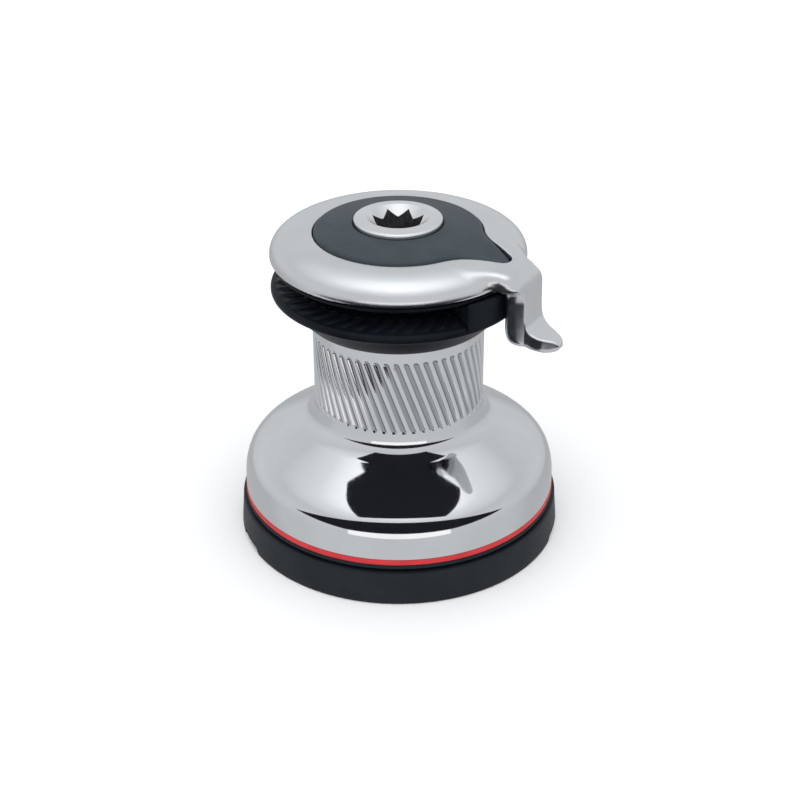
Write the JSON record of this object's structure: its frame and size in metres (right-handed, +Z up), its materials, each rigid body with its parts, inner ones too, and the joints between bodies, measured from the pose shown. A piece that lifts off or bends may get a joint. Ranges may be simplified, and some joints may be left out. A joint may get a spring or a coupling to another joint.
{
  "type": "sailboat winch",
  "caption": "Two-speed self-tailing sailboat winch with a polished drum, black rope jaws, a chrome top cover with a hooked feeder arm, and a black base.",
  "frame": {"origin": "on the drum's axis at the underside of the base, on the deck", "axes": "+Z up the drum's axis, +X towards the feeder arm"},
  "size_m": [0.1619, 0.155, 0.1581],
  "materials": {
    "chrome": "polished",
    "drum_steel": "polished",
    "black_plastic": "matt moulding",
    "insert_black": "matt moulding",
    "base_black": "matt moulding",
    "red_ring": "satin",
    "socket_steel": "satin",
    "stem_alloy": "satin",
    "gear_steel": "machined",
    "gear_bronze": "machined",
    "screw_steel": "satin",
    "spring_steel": "drawn wire",
    "bearing_polymer": "matt",
    "roller_steel": "ground"
  },
  "bodies": {
    "base": {"base_plate": "stem_alloy", "base_skirt": "base_black", "shaft_foot_bush": "bearing_polymer", "stem": "stem_alloy", "stem_screws": "screw_steel", "inner_idler_spindle": "gear_steel", "outer_idler_spindle": "gear_steel", "second_gear_spindle": "gear_steel", "shaft_middle_bush": "bearing_polymer", "socket_bush": "bearing_polymer", "bearing_spacer": "bearing_polymer", "arm_cover": "chrome", "top_insert": "insert_black", "cover_screws": "screw_steel", "rope_stripper": "black_plastic", "stripper_screws": "screw_steel"},
    "drum": {"drum": "drum_steel", "ring_gear": "gear_steel", "red_trim_ring": "red_ring", "dark_trim_ring": "base_black", "drum_thrust_washer": "bearing_polymer", "upper_jaw": "black_plastic", "jaw_screws": "screw_steel", "jaw_springs": "spring_steel"},
    "lower_jaw": {"lower_jaw": "black_plastic"},
    "lower_bearing": {"lower_bearing_cage": "bearing_polymer", "lower_bearing_rollers": "roller_steel"},
    "upper_bearing": {"upper_bearing_cage": "bearing_polymer", "upper_bearing_rollers": "roller_steel"},
    "shaft": {"main_shaft": "gear_steel", "handle_socket": "socket_steel", "socket_circlip": "spring_steel", "first_pawl_springs": "spring_steel"},
    "first_gear": {"first_speed_gear": "gear_bronze"},
    "inner_idler": {"inner_idler_gear": "gear_steel"},
    "outer_idler": {"outer_idler_gear": "gear_steel"},
    "second_gear": {"second_speed_gear": "gear_bronze"},
    "second_pinion": {"second_speed_pinion": "gear_bronze", "second_pawl_springs": "spring_steel"},
    "first_pawl_a": {"first_speed_pawl_a": "gear_steel"},
    "first_pawl_b": {"first_speed_pawl_b": "gear_steel"},
    "second_pawl_a": {"second_speed_pawl_a": "gear_steel"},
    "second_pawl_b": {"second_speed_pawl_b": "gear_steel"}
  },
  "joints": [
    {"name": "drum_spin", "type": "hinge", "parent": "base", "child": "drum", "pos_m": [0, 0, 0.09], "axis": [0, 0, 1], "continuous": true},
    {"name": "jaw_slide", "type": "slide", "parent": "drum", "child": "lower_jaw", "axis": [0, 0, 1], "range_m": [-0.003, 0], "stiffness_N_per_m": 2000, "deforming": ["jaw_springs"]},
    {"name": "lower_bearing_roll", "type": "hinge", "parent": "base", "child": "lower_bearing", "pos_m": [0, 0, 0.068], "axis": [0, 0, 1], "continuous": true},
    {"name": "upper_bearing_roll", "type": "hinge", "parent": "base", "child": "upper_bearing", "pos_m": [0, 0, 0.102], "axis": [0, 0, 1], "continuous": true},
    {"name": "handle_turn", "type": "hinge", "parent": "base", "child": "shaft", "pos_m": [0, 0, 0.13], "axis": [0, 0, 1], "continuous": true},
    {"name": "first_gear_turn", "type": "hinge", "parent": "base", "child": "first_gear", "pos_m": [0, 0, 0.03], "axis": [0, 0, 1], "continuous": true},
    {"name": "inner_idler_turn", "type": "hinge", "parent": "base", "child": "inner_idler", "pos_m": [0.03859, 0.0184, 0.03], "axis": [0, 0, 1], "continuous": true},
    {"name": "outer_idler_turn", "type": "hinge", "parent": "base", "child": "outer_idler", "pos_m": [0.054, 0, 0.03], "axis": [0, 0, 1], "continuous": true},
    {"name": "second_gear_turn", "type": "hinge", "parent": "base", "child": "second_gear", "pos_m": [-0.0375, 0, 0.015], "axis": [0, 0, 1], "continuous": true},
    {"name": "second_pinion_turn", "type": "hinge", "parent": "base", "child": "second_pinion", "pos_m": [-0.0375, 0, 0.015], "axis": [0, 0, 1], "continuous": true},
    {"name": "first_pawl_a_swing", "type": "hinge", "parent": "shaft", "child": "first_pawl_a", "pos_m": [-0.00243, 0.01379, 0.03], "axis": [0, 0, 1], "range_deg": [-18, 0], "stiffness_Nm_per_rad": 0.02},
    {"name": "first_pawl_b_swing", "type": "hinge", "parent": "shaft", "child": "first_pawl_b", "pos_m": [0.00243, -0.01379, 0.03], "axis": [0, 0, 1], "range_deg": [-18, 0], "stiffness_Nm_per_rad": 0.02},
    {"name": "second_pawl_a_swing", "type": "hinge", "parent": "second_pinion", "child": "second_pawl_a", "pos_m": [-0.0255, 0, 0.0135], "axis": [0, 0, -1], "range_deg": [0, 18]},
    {"name": "second_pawl_b_swing", "type": "hinge", "parent": "second_pinion", "child": "second_pawl_b", "pos_m": [-0.0495, 0, 0.0135], "axis": [0, 0, -1], "range_deg": [0, 18]}
  ],
  "couplings": [
    {"joint": "handle_turn", "follows": "drum_spin", "ratio": 2.1463},
    {"joint": "first_gear_turn", "follows": "drum_spin", "ratio": 2.1463},
    {"joint": "inner_idler_turn", "follows": "drum_spin", "ratio": -5.5},
    {"joint": "outer_idler_turn", "follows": "drum_spin", "ratio": 5.5},
    {"joint": "second_gear_turn", "follows": "drum_spin", "ratio": -0.83469},
    {"joint": "second_pinion_turn", "follows": "drum_spin", "ratio": 2.3158},
    {"joint": "lower_bearing_roll", "follows": "drum_spin", "ratio": 0.54472},
    {"joint": "upper_bearing_roll", "follows": "drum_spin", "ratio": 0.54472}
  ]
}
